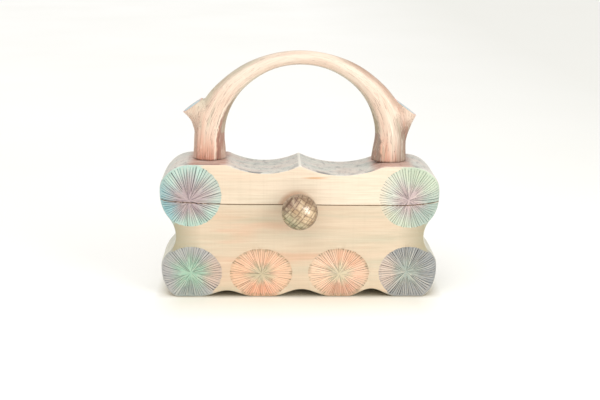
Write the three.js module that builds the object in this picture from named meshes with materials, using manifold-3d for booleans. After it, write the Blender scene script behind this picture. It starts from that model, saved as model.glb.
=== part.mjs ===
// A carved wooden handbag: a scalloped box with a hinged lid, an arched branch handle and a ball clasp.
// Millimetres, +X to the right, +Y to the back, +Z up. The origin is on the floor, in the middle of the
// box that holds the whole bag. Outlines are drawn in bag coordinates, where y = 0 is the body's middle.
import * as THREE from "three";
import { mergeVertices } from "three/addons/utils/BufferGeometryUtils.js";
import Module from "manifold-3d";

const wasm = await Module();
wasm.setup();

// Driving dimensions

const body = {
  depth: 52,
  halfWidth: 120,
  endRound: 16, // radius of the upright corners, seen from above
  edgeRound: 1, // softened edge round the front and back faces
  wall: 8, // front and back walls
  split: 82.4, // height of the joint between base and lid
  jointGap: 0.4,
};

// The scalloped outline, seen from the front. Each lobe is a circle, and the waists are tangent to them.
const lobes = {
  upperLeft: { x: -92.7, z: 89.7, r: 27.2 },
  upperRight: { x: 92.7, z: 88.4, r: 27.2 },
  lowerLeft: { x: -94.6, z: 22, r: 25.2 },
  lowerRight: { x: 94.6, z: 22.2, r: 25.2 },
};
const waist = { halfWidth: 105.8, z: 55 };
const crest = { x: -0.7, z: 116.2 }; // sharp peak in the middle of the top edge
const troughs = {
  left: { x: -30.5, z: 109.5, fillet: 8 },
  right: { x: 35, z: 108, fillet: 22 },
};
// The wavy bottom edge: arches between the flat feet.
const arches = [
  { from: -85.4, to: -39.6, rise: 5.3 },
  { from: -24.8, to: 27.6, rise: 6.5 },
  { from: 40.4, to: 83.5, rise: 7 },
];
const archSteps = 12;
const arcSteps = 6;

const pocket = { halfLength: 96, cornerRound: 12, floor: 13, ceiling: 101.5 };

// The handle is a fan of sections about a hub. Radii run from the hub, and the angle from the crown.
const handle = {
  hubZ: 128,
  seatGap: 0.3,
  sides: 16,
  stepDegrees: 6,
  sections: [
    { angle: 0, inner: 69.3, outer: 81.6, depth: 16 },
    { angle: 25, inner: 69.1, outer: 83, depth: 17 },
    { angle: 45, inner: 68.5, outer: 86.2, depth: 19.5 },
    { angle: 65, inner: 66.9, outer: 91, depth: 23 },
    { angle: 90, inner: 63.7, outer: 91, depth: 25.5 },
  ],
  foot: { inner: 63.4, outer: 91.5, depth: 26.6 },
};
// A sawn-off side branch leaves each leg and leans out to its flat cut end. Distances from the middle.
const branchSections = [
  { x: 77.5, z: 125, lean: 0, width: 25, depth: 24 },
  { x: 78.6, z: 134, lean: 8, width: 24.5, depth: 23.6 },
  { x: 81, z: 143, lean: 18, width: 24, depth: 23 },
  { x: 85, z: 152.5, lean: 28, width: 23.6, depth: 21.8 },
];
const branchCuts = {
  left: { x: 91.4, z: 162.4, lean: 35, width: 21.2, depth: 19.5 },
  right: { x: 89.5, z: 161.4, lean: 36, width: 24, depth: 20.5 },
};

// Carved rosettes on the front: rays of shallow V cuts about each centre, inside an oval.
const rosettes = [
  { x: -92.9, z: 88.6, rx: 25.3, rz: 25.3 },
  { x: 92.9, z: 87.4, rx: 25.1, rz: 25.1 },
  { x: -93.4, z: 22.4, rx: 23.8, rz: 20.8 },
  { x: -33.3, z: 21.8, rx: 26, rz: 20.6 },
  { x: 33.7, z: 22, rx: 25.5, rz: 20.6 },
  { x: 93.3, z: 22.6, rx: 23.8, rz: 20.8 },
];
const ray = {
  count: 18,
  lift: 1.2, // how far the cutter stands out of the surface
  stations: [
    { reach: 0.2, halfWidth: 0.3, depth: 0.4 },
    { reach: 0.55, halfWidth: 0.6, depth: 0.9 },
    { reach: 0.85, halfWidth: 0.7, depth: 0.8 },
    { reach: 1, halfWidth: 0.4, depth: 0.3 },
  ],
};

const clasp = {
  ballRadius: 15.2,
  ballShift: -1, // sideways from the middle of the bag
  ballDrop: 2.8, // the ball's centre is this far below the joint
  flatBack: 12.6, // from the ball's centre to its flat back
  faceGap: 0.8, // from the flat back to the front of the bag
  postRadius: 2,
  postRise: 3.2, // the post is in the lid, this far above the joint
  postInLid: 5.5,
  postInBall: 9,
  holeGap: 0.3,
};

const hinge = {
  offset: 66, // from the middle of the bag to the middle of a hinge
  length: 26,
  leafHeight: 12,
  leafThickness: 1.3,
  knuckleRadius: 2.4,
  pinRadius: 1.1,
  gap: 0.3,
  woodGap: 0.3,
};

// Values that follow from the driving dimensions

const halfDepth = body.depth / 2;
const baseTop = body.split - body.jointGap / 2;
const lidBottom = body.split + body.jointGap / 2;
const hingeAxis = { y: halfDepth + hinge.woodGap + hinge.knuckleRadius, z: body.split };
const ballCentre = {
  x: clasp.ballShift,
  y: -halfDepth - clasp.faceGap - clasp.flatBack,
  z: body.split - clasp.ballDrop,
};
const bagBack = hingeAxis.y + hinge.knuckleRadius;
const bagFront = ballCentre.y - clasp.ballRadius;

// Solids and meshes

function solid(geometry) {
  const bare = geometry.index ? geometry.toNonIndexed() : geometry.clone();
  bare.deleteAttribute("normal");
  bare.deleteAttribute("uv");
  const merged = mergeVertices(bare, 1e-4);
  const vertProperties = merged.attributes.position.array;
  const triVerts = new Uint32Array(merged.index.array);
  return new wasm.Manifold(new wasm.Mesh({ numProp: 3, vertProperties, triVerts }));
}

function geometryOf(made) {
  const mesh = made.getMesh();
  const geometry = new THREE.BufferGeometry();
  geometry.setAttribute("position", new THREE.BufferAttribute(mesh.vertProperties, 3));
  geometry.setIndex(new THREE.BufferAttribute(mesh.triVerts, 1));
  return geometry;
}

function box(low, high) {
  const size = new THREE.Vector3().subVectors(high, low);
  const middle = new THREE.Vector3().addVectors(low, high).multiplyScalar(0.5);
  const geometry = new THREE.BoxGeometry(size.x, size.y, size.z);
  return solid(geometry.translate(middle.x, middle.y, middle.z));
}

// A round bar along X or Y, from one end to the other.
function bar(axis, from, to, radius, sides) {
  const geometry = new THREE.CylinderGeometry(radius, radius, Math.abs(to - from), sides);
  if (axis === "x") return geometry.rotateZ(Math.PI / 2).translate((from + to) / 2, 0, 0);
  return geometry.translate(0, (from + to) / 2, 0);
}

// A skin over rings with the same number of points, closed by a flat cap at each end.
function loft(rings) {
  const count = rings[0].length;
  const position = rings.flat().flatMap((point) => [point.x, point.y, point.z]);
  const index = [];
  for (let ring = 0; ring + 1 < rings.length; ring++) {
    for (let i = 0; i < count; i++) {
      const here = ring * count;
      const next = (i + 1) % count;
      index.push(here + i, here + next, here + count + i);
      index.push(here + next, here + count + next, here + count + i);
    }
  }
  const last = (rings.length - 1) * count;
  for (let i = 1; i + 1 < count; i++) {
    index.push(0, i + 1, i);
    index.push(last, last + i, last + i + 1);
  }
  const geometry = new THREE.BufferGeometry();
  geometry.setAttribute("position", new THREE.Float32BufferAttribute(position, 3));
  return geometry.setIndex(index);
}

// An oval ring: half the width along a direction in the XZ plane, half the depth along Y.
function ovalRing(centre, across, width, depth, sides) {
  const ring = [];
  for (let i = 0; i < sides; i++) {
    const turn = (2 * Math.PI * i) / sides;
    const point = centre.clone().addScaledVector(across, (width / 2) * Math.cos(turn));
    point.y += (depth / 2) * Math.sin(turn);
    ring.push(point);
  }
  return ring;
}

// The scalloped outline of the body

// Radius of a waist arc that meets a lobe smoothly and is upright at the waist.
function waistRadius(lobe) {
  const inward = waist.halfWidth - Math.abs(lobe.x);
  const rise = lobe.z - waist.z;
  return (rise * rise + inward * inward - lobe.r * lobe.r) / (2 * (lobe.r - inward));
}

// The direction from a lobe's centre to the centre of its waist arc.
function waistAngle(lobe) {
  const side = Math.sign(lobe.x);
  const centreX = side * (waist.halfWidth + waistRadius(lobe));
  return Math.atan2(waist.z - lobe.z, centreX - lobe.x);
}

// The hollow arc of a trough and the fillet that leads from the lobe's flat top into it.
function troughArcs(trough, lobe) {
  const side = Math.sign(lobe.x);
  const topZ = lobe.z + lobe.r;
  const run = crest.x - trough.x;
  const drop = crest.z - trough.z;
  const r = (run * run + drop * drop) / (2 * drop);
  const z = trough.z + r;
  const filletZ = topZ - trough.fillet;
  const reach = Math.sqrt((r + trough.fillet) ** 2 - (z - filletZ) ** 2);
  const filletX = trough.x + side * reach;
  const toTrough = Math.atan2(z - filletZ, trough.x - filletX);
  const toCrest = Math.atan2(crest.z - z, crest.x - trough.x);
  return { x: trough.x, z, r, filletX, filletZ, fillet: trough.fillet, topZ, toTrough, toCrest };
}

function bodyOutline() {
  const { upperLeft, upperRight, lowerLeft, lowerRight } = lobes;
  const footHalf = (lobe) => Math.sqrt(lobe.r ** 2 - lobe.z ** 2);
  const shape = new THREE.Shape();
  const arc = (centre, r, from, to, clockwise) => {
    shape.absarc(centre.x, centre.z, r, from, to, clockwise);
  };

  // Along the bottom, from the left foot to the right one.
  shape.moveTo(lowerLeft.x - footHalf(lowerLeft), 0);
  for (const arch of arches) {
    for (let i = 0; i <= archSteps; i++) {
      const t = i / archSteps;
      const x = THREE.MathUtils.lerp(arch.from, arch.to, t);
      shape.lineTo(x, arch.rise * Math.sin(Math.PI * t) ** 2);
    }
  }
  shape.lineTo(lowerRight.x + footHalf(lowerRight), 0);

  // Up the right side.
  const rightWaist = (lobe) => ({ x: waist.halfWidth + waistRadius(lobe), z: waist.z });
  const lowRight = waistAngle(lowerRight);
  const highRight = waistAngle(upperRight);
  arc(lowerRight, lowerRight.r, Math.atan2(-lowerRight.z, footHalf(lowerRight)), lowRight, false);
  arc(rightWaist(lowerRight), waistRadius(lowerRight), lowRight + Math.PI, Math.PI, true);
  arc(rightWaist(upperRight), waistRadius(upperRight), Math.PI, highRight + Math.PI, true);
  arc(upperRight, upperRight.r, highRight, Math.PI / 2, false);

  // Across the top, through both troughs.
  const right = troughArcs(troughs.right, upperRight);
  const left = troughArcs(troughs.left, upperLeft);
  const filletOf = (trough) => ({ x: trough.filletX, z: trough.filletZ });
  shape.lineTo(right.filletX, right.topZ);
  arc(filletOf(right), right.fillet, Math.PI / 2, right.toTrough, false);
  arc(right, right.r, right.toTrough + Math.PI, right.toCrest, true);
  arc(left, left.r, left.toCrest, left.toTrough - Math.PI, true);
  arc(filletOf(left), left.fillet, left.toTrough, Math.PI / 2, false);
  shape.lineTo(upperLeft.x, left.topZ);

  // Down the left side.
  const leftWaist = (lobe) => ({ x: -waist.halfWidth - waistRadius(lobe), z: waist.z });
  const highLeft = waistAngle(upperLeft);
  const lowLeft = waistAngle(lowerLeft);
  arc(upperLeft, upperLeft.r, Math.PI / 2, highLeft + 2 * Math.PI, false);
  arc(leftWaist(upperLeft), waistRadius(upperLeft), highLeft + Math.PI, 0, true);
  arc(leftWaist(lowerLeft), waistRadius(lowerLeft), 0, lowLeft - Math.PI, true);
  arc(lowerLeft, lowerLeft.r, lowLeft, Math.atan2(-lowerLeft.z, -footHalf(lowerLeft)) + 2 * Math.PI, false);
  return shape;
}

function roundedRectangle(halfX, halfY, r) {
  const shape = new THREE.Shape();
  shape.absarc(halfX - r, halfY - r, r, 0, Math.PI / 2, false);
  shape.absarc(-halfX + r, halfY - r, r, Math.PI / 2, Math.PI, false);
  shape.absarc(-halfX + r, -halfY + r, r, Math.PI, 1.5 * Math.PI, false);
  shape.absarc(halfX - r, -halfY + r, r, 1.5 * Math.PI, 2 * Math.PI, false);
  return shape;
}

// An upright prism over a rounded rectangle.
function prism(halfX, halfY, r, low, high) {
  const shape = roundedRectangle(halfX, halfY, r);
  const options = { depth: high - low, curveSegments: arcSteps, bevelEnabled: false };
  return solid(new THREE.ExtrudeGeometry(shape, options).translate(0, 0, low));
}

// The front face bends back round the upright corners.
function frontY(x) {
  const along = Math.max(0, Math.abs(x) - (body.halfWidth - body.endRound));
  return -halfDepth + body.endRound - Math.sqrt(body.endRound ** 2 - along ** 2);
}

// One V cut of a rosette, which follows the front face outwards from the centre.
function rayCut(rosette, turn) {
  const rings = ray.stations.map(({ reach, halfWidth, depth }) => {
    const x = rosette.x + rosette.rx * reach * Math.cos(turn);
    const z = rosette.z + rosette.rz * reach * Math.sin(turn);
    const spread = (halfWidth * (depth + ray.lift)) / depth;
    const rim = (sign) => {
      const rimX = x - sign * spread * Math.sin(turn);
      return new THREE.Vector3(rimX, frontY(rimX) - ray.lift, z + sign * spread * Math.cos(turn));
    };
    return [rim(-1), new THREE.Vector3(x, frontY(x) + depth, z), rim(1)];
  });
  return solid(loft(rings));
}

function rosetteCuts() {
  const turns = Array.from({ length: ray.count }, (_, i) => (2 * Math.PI * i) / ray.count);
  const cuts = rosettes.flatMap((rosette) => turns.map((turn) => rayCut(rosette, turn)));
  return cuts.reduce((all, cut) => all.add(cut));
}

// The whole body before it is sawn apart: the outline cut through from front to back, with its upright
// corners rounded off and its rosettes carved.
function bodyBlock() {
  const cut = new THREE.ExtrudeGeometry(bodyOutline(), {
    depth: body.depth - 2 * body.edgeRound,
    curveSegments: arcSteps,
    bevelThickness: body.edgeRound,
    bevelSize: body.edgeRound,
    bevelOffset: -body.edgeRound,
    bevelSegments: 1,
  });
  cut.rotateX(Math.PI / 2).translate(0, halfDepth - body.edgeRound, 0);
  const top = lobes.upperLeft.z + lobes.upperLeft.r;
  const corners = prism(body.halfWidth, halfDepth, body.endRound, -1, top + 1);
  return solid(cut).intersect(corners).subtract(rosetteCuts());
}

function between(low, high) {
  const reach = 2 * body.halfWidth;
  return box(new THREE.Vector3(-reach, -reach, low), new THREE.Vector3(reach, reach, high));
}

function baseSolid(block) {
  const { halfLength, cornerRound, floor } = pocket;
  const hollow = prism(halfLength, halfDepth - body.wall, cornerRound, floor, body.split);
  return block.intersect(between(-1, baseTop)).subtract(hollow);
}

function lidSolid(block) {
  const { halfLength, cornerRound, ceiling } = pocket;
  const hollow = prism(halfLength, halfDepth - body.wall, cornerRound, body.split, ceiling);
  const top = lobes.upperLeft.z + lobes.upperLeft.r;
  return block.intersect(between(lidBottom, top + 1)).subtract(hollow).subtract(postHole());
}

// The clasp: a wooden ball with a flat back on a hidden post in the front of the lid

const postAxisZ = body.split + clasp.postRise;
const postFrom = -halfDepth + clasp.postInLid;
const postTo = ballCentre.y + clasp.flatBack - clasp.postInBall;

function postBar(radius, from, to) {
  return solid(bar("y", from, to, radius, 16).translate(ballCentre.x, 0, postAxisZ));
}

function postHole() {
  return postBar(clasp.postRadius + clasp.holeGap, postFrom + clasp.holeGap, postTo - clasp.holeGap);
}

function claspPost() {
  return postBar(clasp.postRadius, postFrom, postTo);
}

function claspBall() {
  const sphere = new THREE.SphereGeometry(clasp.ballRadius, 24, 16);
  sphere.rotateX(Math.PI / 2).translate(ballCentre.x, ballCentre.y, ballCentre.z);
  const reach = 2 * clasp.ballRadius;
  const behind = box(
    new THREE.Vector3(-reach, ballCentre.y + clasp.flatBack, ballCentre.z - reach),
    new THREE.Vector3(reach, ballCentre.y + reach, ballCentre.z + reach),
  );
  return solid(sphere).subtract(behind).subtract(postHole());
}

// The handle: one bent limb that stands on the lid, with a sawn-off side branch on each shoulder

// Smooth section sizes all the way over, from the table rows and their mirror image.
function limbSections() {
  const mirrored = handle.sections.slice(1).reverse().map((row) => ({ ...row, angle: -row.angle }));
  const rows = [...mirrored, ...handle.sections];
  const values = rows.flatMap(({ inner, outer, depth }) => [inner, outer, depth]);
  const smooth = new THREE.CubicInterpolant(rows.map((row) => row.angle), values, 3);
  return (angle) => {
    const [inner, outer, depth] = smooth.evaluate(angle);
    return { inner, outer, depth };
  };
}

function limbRing(centreZ, direction, section) {
  const middle = (section.inner + section.outer) / 2;
  const hub = new THREE.Vector3(0, 0, centreZ);
  const centre = hub.addScaledVector(direction, middle);
  return ovalRing(centre, direction, section.outer - section.inner, section.depth, handle.sides);
}

function handleSolid() {
  const footZ = (lobe) => lobe.z + lobe.r + handle.seatGap;
  const right = new THREE.Vector3(1, 0, 0);
  const left = new THREE.Vector3(-1, 0, 0);
  const sectionAt = limbSections();
  const rings = [limbRing(footZ(lobes.upperRight), right, handle.foot)];
  for (let degrees = 90; degrees >= -90; degrees -= handle.stepDegrees) {
    const turn = THREE.MathUtils.degToRad(degrees);
    const direction = new THREE.Vector3(Math.sin(turn), 0, Math.cos(turn));
    rings.push(limbRing(handle.hubZ, direction, sectionAt(degrees)));
  }
  rings.push(limbRing(footZ(lobes.upperLeft), left, handle.foot));
  return solid(loft(rings)).add(branch(-1, branchCuts.left)).add(branch(1, branchCuts.right));
}

function branch(side, cut) {
  const rings = [...branchSections, cut].map(({ x, z, lean, width, depth }) => {
    const turn = THREE.MathUtils.degToRad(lean);
    const across = new THREE.Vector3(Math.cos(turn), 0, -side * Math.sin(turn));
    return ovalRing(new THREE.Vector3(side * x, 0, z), across, width, depth, handle.sides);
  });
  return solid(loft(rings));
}

// The hinges: a plain pair on the back, each a base leaf with the pin and a lid leaf that turns on it

const knuckle = hinge.length / 3;

function knuckleBar(from, to, radius) {
  return solid(bar("x", from, to, radius, 16).translate(0, hingeAxis.y, hingeAxis.z));
}

// A flat leaf on the back face, and the tabs that join it to its knuckles.
function leafPlate(sign, tabs) {
  const nearY = halfDepth + hinge.woodGap;
  const farY = nearY + hinge.leafThickness;
  const start = hinge.knuckleRadius + hinge.gap;
  const plate = (x0, x1, a, b) => {
    const [z0, z1] = [hingeAxis.z + sign * a, hingeAxis.z + sign * b].sort((p, q) => p - q);
    return box(new THREE.Vector3(x0, nearY, z0), new THREE.Vector3(x1, farY, z1));
  };
  let leaf = plate(-hinge.length / 2, hinge.length / 2, start, start + hinge.leafHeight);
  for (const [from, to] of tabs) leaf = leaf.add(plate(from, to, 0, start + 1));
  return leaf;
}

function baseLeaf() {
  const end = hinge.length / 2;
  const inner = knuckle / 2 + hinge.gap / 2;
  const tabs = [[-end, -inner], [inner, end]];
  const leaf = leafPlate(-1, tabs).add(knuckleBar(-end, end, hinge.pinRadius));
  return tabs.reduce((made, [from, to]) => made.add(knuckleBar(from, to, hinge.knuckleRadius)), leaf);
}

function lidLeaf() {
  const inner = knuckle / 2 - hinge.gap / 2;
  const bore = knuckleBar(-hinge.length, hinge.length, hinge.pinRadius + hinge.gap);
  return leafPlate(1, [[-inner, inner]]).add(knuckleBar(-inner, inner, hinge.knuckleRadius)).subtract(bore);
}

// Assembly

const colours = {
  paleWood: { color: 0xe6cfae, roughness: 0.6, metalness: 0 },
  limbWood: { color: 0xdcb9a0, roughness: 0.5, metalness: 0 },
  ballWood: { color: 0xa98c74, roughness: 0.3, metalness: 0 },
  plainWood: { color: 0xc9a882, roughness: 0.6, metalness: 0 },
  brass: { color: 0xb08d4a, roughness: 0.35, metalness: 1 },
};

function piece(name, made, colour) {
  const mesh = new THREE.Mesh(geometryOf(made), new THREE.MeshStandardMaterial(colours[colour]));
  mesh.name = name;
  return mesh;
}

const block = bodyBlock();
const bag = new THREE.Group();
bag.add(piece("base", baseSolid(block), "paleWood"));

// Everything that opens hangs on the hinge line, so turning this group about X opens the bag.
const opening = new THREE.Group();
opening.position.set(0, hingeAxis.y, hingeAxis.z);
const lidPieces = [
  piece("lid", lidSolid(block), "paleWood"),
  piece("handle", handleSolid(), "limbWood"),
  piece("clasp_ball", claspBall(), "ballWood"),
  piece("clasp_post", claspPost(), "plainWood"),
];

for (const [side, x] of [["left", -hinge.offset], ["right", hinge.offset]]) {
  const fixed = piece(`hinge_leaf_base_${side}`, baseLeaf(), "brass");
  fixed.position.x = x;
  bag.add(fixed);
  const turning = piece(`hinge_leaf_lid_${side}`, lidLeaf(), "brass");
  turning.position.x = x;
  lidPieces.push(turning);
}
for (const mesh of lidPieces) {
  mesh.position.y -= hingeAxis.y;
  mesh.position.z -= hingeAxis.z;
  opening.add(mesh);
}
bag.add(opening);

// The ball stands further out than the hinges, so the body sits behind the middle of the whole.
bag.position.y = -(bagFront + bagBack) / 2;

export default bag;
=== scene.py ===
import math
from types import SimpleNamespace

import bmesh
import bpy
import numpy as np
from mathutils import Matrix, Vector, geometry


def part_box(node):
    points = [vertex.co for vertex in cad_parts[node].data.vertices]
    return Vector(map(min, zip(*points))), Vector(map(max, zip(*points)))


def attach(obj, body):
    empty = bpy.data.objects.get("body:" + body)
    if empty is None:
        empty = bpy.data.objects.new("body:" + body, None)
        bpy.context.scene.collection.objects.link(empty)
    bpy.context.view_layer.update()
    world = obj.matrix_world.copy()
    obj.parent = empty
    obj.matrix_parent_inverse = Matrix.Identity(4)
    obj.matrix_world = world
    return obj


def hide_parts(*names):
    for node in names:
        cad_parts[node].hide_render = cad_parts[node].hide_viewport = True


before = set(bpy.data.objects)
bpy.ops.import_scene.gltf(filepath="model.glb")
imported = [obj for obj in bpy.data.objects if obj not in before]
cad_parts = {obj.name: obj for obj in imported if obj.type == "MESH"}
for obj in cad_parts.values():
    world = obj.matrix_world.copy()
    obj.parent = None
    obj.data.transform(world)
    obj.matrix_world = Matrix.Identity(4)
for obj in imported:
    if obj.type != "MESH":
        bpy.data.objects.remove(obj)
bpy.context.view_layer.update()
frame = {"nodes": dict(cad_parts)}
print("frame loaded:", ", ".join(frame["nodes"]))

# Pieces are drawn in millimetres about the middle of the wood, then set into the frame in metres
mm = 0.001
pi = math.pi
baseLow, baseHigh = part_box("base")
midY = (baseLow.y + baseHigh.y) / 2
toFrame = Matrix.Translation((0, midY, 0)) @ Matrix.Scale(mm, 4)


# Small tools for numbers and colours

def smoothStep(low, high, value):
    t = np.clip((value - low) / (high - low), 0, 1)
    return t * t * (3 - 2 * t)


def fade(low, high, value):  # from 1 down to 0
    return 1 - smoothStep(low, high, value)


def smoothTable(value, marks, sizes):  # a smooth curve through the rows of a table
    marks, sizes = np.asarray(marks, float), np.asarray(sizes, float)
    slopes = np.gradient(sizes, marks)
    slopes[0] = 0
    row = np.clip(np.searchsorted(marks, value) - 1, 0, len(marks) - 2)
    gap = marks[row + 1] - marks[row]
    t = np.clip((value - marks[row]) / gap, 0, 1)
    return ((2 * t**3 - 3 * t**2 + 1) * sizes[row] + (t**3 - 2 * t**2 + t) * gap * slopes[row]
            + (3 * t**2 - 2 * t**3) * sizes[row + 1] + (t**3 - t**2) * gap * slopes[row + 1])


def ringTurns(count):  # angles all the way round
    return np.arange(count) * 2 * pi / count


def hexColour(code):  # a paint colour as linear red, green and blue
    screen = np.array([int(code[i:i + 2], 16) for i in (0, 2, 4)]) / 255
    return np.where(screen <= 0.04045, screen / 12.92, ((screen + 0.055) / 1.055) ** 2.4)


def paint(code):  # the same with alpha, for a socket
    return (*hexColour(code), 1.0)


def washOver(colour, amount, code):  # amount 0 to 1 at each point
    return colour + (hexColour(code) - colour) * np.asarray(amount)[..., None]


# A material, its colour built up coat by coat

class Finish:
    def __init__(self, name):
        self.material = bpy.data.materials.new(name)
        self.material.use_nodes = True
        self.tree = self.material.node_tree
        self.spot = self.put("ShaderNodeTexCoord").outputs["Object"]
        self.colour = None

    def feed(self, socket, value):  # linked or set
        if isinstance(value, bpy.types.NodeSocket):
            self.tree.links.new(value, socket)
        else:
            socket.default_value = value

    def put(self, kind, inputs=None, **settings):
        node = self.tree.nodes.new(kind)
        for name, value in settings.items():
            setattr(node, name, value)
        for name, value in (inputs or {}).items():
            self.feed(node.inputs[name], value)
        return node

    def axes(self, vector):
        return self.put("ShaderNodeSeparateXYZ", {"Vector": vector}).outputs

    def attribute(self, name):
        return self.put("ShaderNodeAttribute", attribute_name=name).outputs

    def stretched(self, vector, scale, shift=(0, 0, 0)):
        inputs = {"Vector": vector, "Scale": scale, "Location": shift}
        return self.put("ShaderNodeMapping", inputs).outputs[0]

    def noise(self, vector, scale, detail=2.0, rough=0.5, twist=0.0, shift=(0, 0, 0)):
        if isinstance(scale, tuple):  # drawn out along the grain
            vector, scale = self.stretched(vector, scale, shift), 1.0
        inputs = {"Vector": vector, "Scale": scale, "Detail": detail, "Roughness": rough,
                  "Distortion": twist}
        return self.put("ShaderNodeTexNoise", inputs).outputs[0]

    def ranged(self, value, low, high, toLow=0.0, toHigh=1.0):
        inputs = {"Value": value, "From Min": low, "From Max": high, "To Min": toLow, "To Max": toHigh}
        return self.put("ShaderNodeMapRange", inputs).outputs[0]

    def maths(self, operation, first, second=0.0):
        return self.put("ShaderNodeMath", {0: first, 1: second}, operation=operation).outputs[0]

    def times(self, first, *others):
        for other in others:
            first = self.maths("MULTIPLY", first, other)
        return first

    def offFrom(self, value, middle):  # distance either way
        return self.maths("ABSOLUTE", self.maths("SUBTRACT", value, middle))

    def length(self, vector):
        return self.put("ShaderNodeVectorMath", {0: vector}, operation="LENGTH").outputs["Value"]

    def ramped(self, value, stops):  # stops are (position, hex colour)
        node = self.put("ShaderNodeValToRGB", {"Fac": value})
        band = node.color_ramp
        while len(band.elements) < len(stops):
            band.elements.new(0.5)
        for element, (position, code) in zip(band.elements, stops):
            element.position = position
            element.color = paint(code)
        return node.outputs["Color"]

    def coat(self, amount, colour, way="MIX"):  # one more colour over the last, as hex or from a socket
        inputs = {0: amount, 6: self.colour, 7: paint(colour) if isinstance(colour, str) else colour}
        self.colour = self.put("ShaderNodeMix", inputs, data_type="RGBA", blend_type=way).outputs[2]

    def coats(self, rows, *within):  # rows of (value, from, to, strength, hex colour)
        for value, low, high, amount, code in rows:
            self.coat(self.times(self.ranged(value, low, high, 0.0, amount), *within), code)

    def done(self, rough, bumps=(), **others):  # bumps are (height, strength, distance)
        if isinstance(rough, tuple):  # a noise, and the roughness at its low and high ends
            value, low, high = rough
            rough = self.ranged(value, 0.3, 0.7, low, high)
        sockets = {"Base Color": self.colour, "Roughness": rough, **others}
        for height, strength, distance in bumps:
            inputs = {"Height": height, "Strength": strength, "Distance": distance}
            if "Normal" in sockets:
                inputs["Normal"] = sockets["Normal"]
            sockets["Normal"] = self.put("ShaderNodeBump", inputs).outputs[0]
        for name, value in sockets.items():
            self.feed(self.tree.nodes["Principled BSDF"].inputs[name], value)
        return self.material


# Small tools for meshes

def newObject(name, data):
    thing = bpy.data.objects.new(name, data)
    bpy.context.scene.collection.objects.link(thing)
    return thing


def addLayer(mesh, name, rows):  # a number, a vector or a colour with alpha at each point
    rows = np.asarray(rows, np.float32)
    kinds = {1: ("FLOAT", "value"), 3: ("FLOAT_VECTOR", "vector"), 4: ("FLOAT_COLOR", "color")}
    kind, key = kinds[rows[0].size]
    home = mesh.color_attributes if key == "color" else mesh.attributes
    home.new(name, kind, "POINT").data.foreach_set(key, rows.ravel())


def pointsOf(mesh):
    flat = np.zeros(len(mesh.vertices) * 3)
    mesh.vertices.foreach_get("co", flat)
    return flat.reshape(-1, 3)


def loft(bm, rows, material=0):  # faces between rings of corners
    for first, second in zip(rows, rows[1:]):
        for i in range(len(first)):
            j = (i + 1) % len(first)
            bm.faces.new((first[i], first[j], second[j], second[i])).material_index = material


def addLoft(bm, rings):  # a closed solid through rings of points
    rows = [[bm.verts.new(p) for p in ring] for ring in rings]
    loft(bm, rows)
    bm.faces.new(rows[0][::-1])
    bm.faces.new(rows[-1])


def fanFaces(columns, rings):  # faces of rings of points round a middle one
    around = [(i, (i + 1) % columns) for i in range(columns)]
    faces = [(0, 1 + i, 1 + j) for i, j in around]
    for row in range(1, 1 + (rings - 1) * columns, columns):
        faces += [(row + i, row + columns + i, row + columns + j, row + j) for i, j in around]
    return faces


def saw(bm, geom, spot, normal, clear=True):  # cut by a plane, and drop what is past it
    bmesh.ops.bisect_plane(bm, geom=geom, dist=1e-4, plane_co=spot, plane_no=normal, clear_outer=clear)


def boundaryLoop(bm):  # the open edge as corners in order
    edges = [e for e in bm.edges if e.is_boundary]
    start = edges[0].verts[0]
    loop, vert, came = [start], edges[0].verts[1], edges[0]
    while vert != start and len(loop) <= len(edges):
        loop.append(vert)
        came = next(e for e in vert.link_edges if e.is_boundary and e != came)
        vert = came.other_vert(vert)
    return loop


def meshFrom(bm, name):  # all faces turned outwards
    bmesh.ops.recalc_face_normals(bm, faces=bm.faces[:])
    mesh = bpy.data.meshes.new(name)
    bm.to_mesh(mesh)
    bm.free()
    return mesh


def settle(name, mesh, materials, sharp, body, nodes):  # into the frame, on its body
    piece = newObject(name, mesh)
    mesh.transform(toFrame)
    mesh.shade_smooth()
    mesh.set_sharp_from_angle(angle=math.radians(sharp))
    for material in materials:
        mesh.materials.append(material)
    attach(piece, body)
    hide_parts(*nodes)
    triangles = sum(len(face.vertices) - 2 for face in mesh.polygons)
    print(f"{piece.name}: {triangles} triangles")
    return piece


# Camera, floor and light

photoView = {
    "from": (-28.36, -905.19, 323.25),  # mm from the middle of the wood
    "turn": 1.819,  # degrees to the right
    "dip": 15.065,  # degrees down
    "roll": 0.587,
    "lens": 64.8,
    "sensor": 36,
}


def setCamera():
    turn, dip, roll = (math.radians(photoView[key]) for key in ("turn", "dip", "roll"))
    ahead = Vector((math.sin(turn) * math.cos(dip), math.cos(turn) * math.cos(dip), -math.sin(dip)))
    level = Vector((math.cos(turn), -math.sin(turn), 0))
    upright = level.cross(ahead)
    right = level * math.cos(roll) + upright * math.sin(roll)
    up = upright * math.cos(roll) - level * math.sin(roll)
    camera = newObject("camera", bpy.data.cameras.new("camera"))
    camera.data.sensor_width = photoView["sensor"]
    camera.data.lens = photoView["lens"]
    turned = Matrix((right, up, -ahead)).transposed().to_4x4()
    camera.matrix_world = Matrix.Translation(toFrame @ Vector(photoView["from"])) @ turned
    bpy.context.scene.camera = camera


studio = {
    "sky": (1.0, 1.0, 0.99, 1.0),
    "skyStrength": 0.72,
    "sun": {"from": (-0.3, -0.4, 0.87), "strength": 1.25, "softness": 60.0},  # degrees across
    "softbox": {"from": (0.9, -0.8, 0.49), "size": (0.6, 0.8), "watts": 7.0, "tint": (1, 1, 1)},
    "window": {"from": (0.86, -0.76, 0.47), "size": (0.75, 0.95), "watts": 46.0, "tint": (1.0, 0.95, 0.86)},
    "aim": (0.0, 0.0, 0.09),
    "floorSide": 60.0,
    "floorShadeRight": (0.08, 0.6),  # greyer between these: painted shade
    "floorBounceShade": (-0.06, -0.012),  # from the front edge of the bag
    "floorArchShadow": (-0.004, 0.004),
    "floorAcross": (0.125, 0.1),
}


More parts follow.
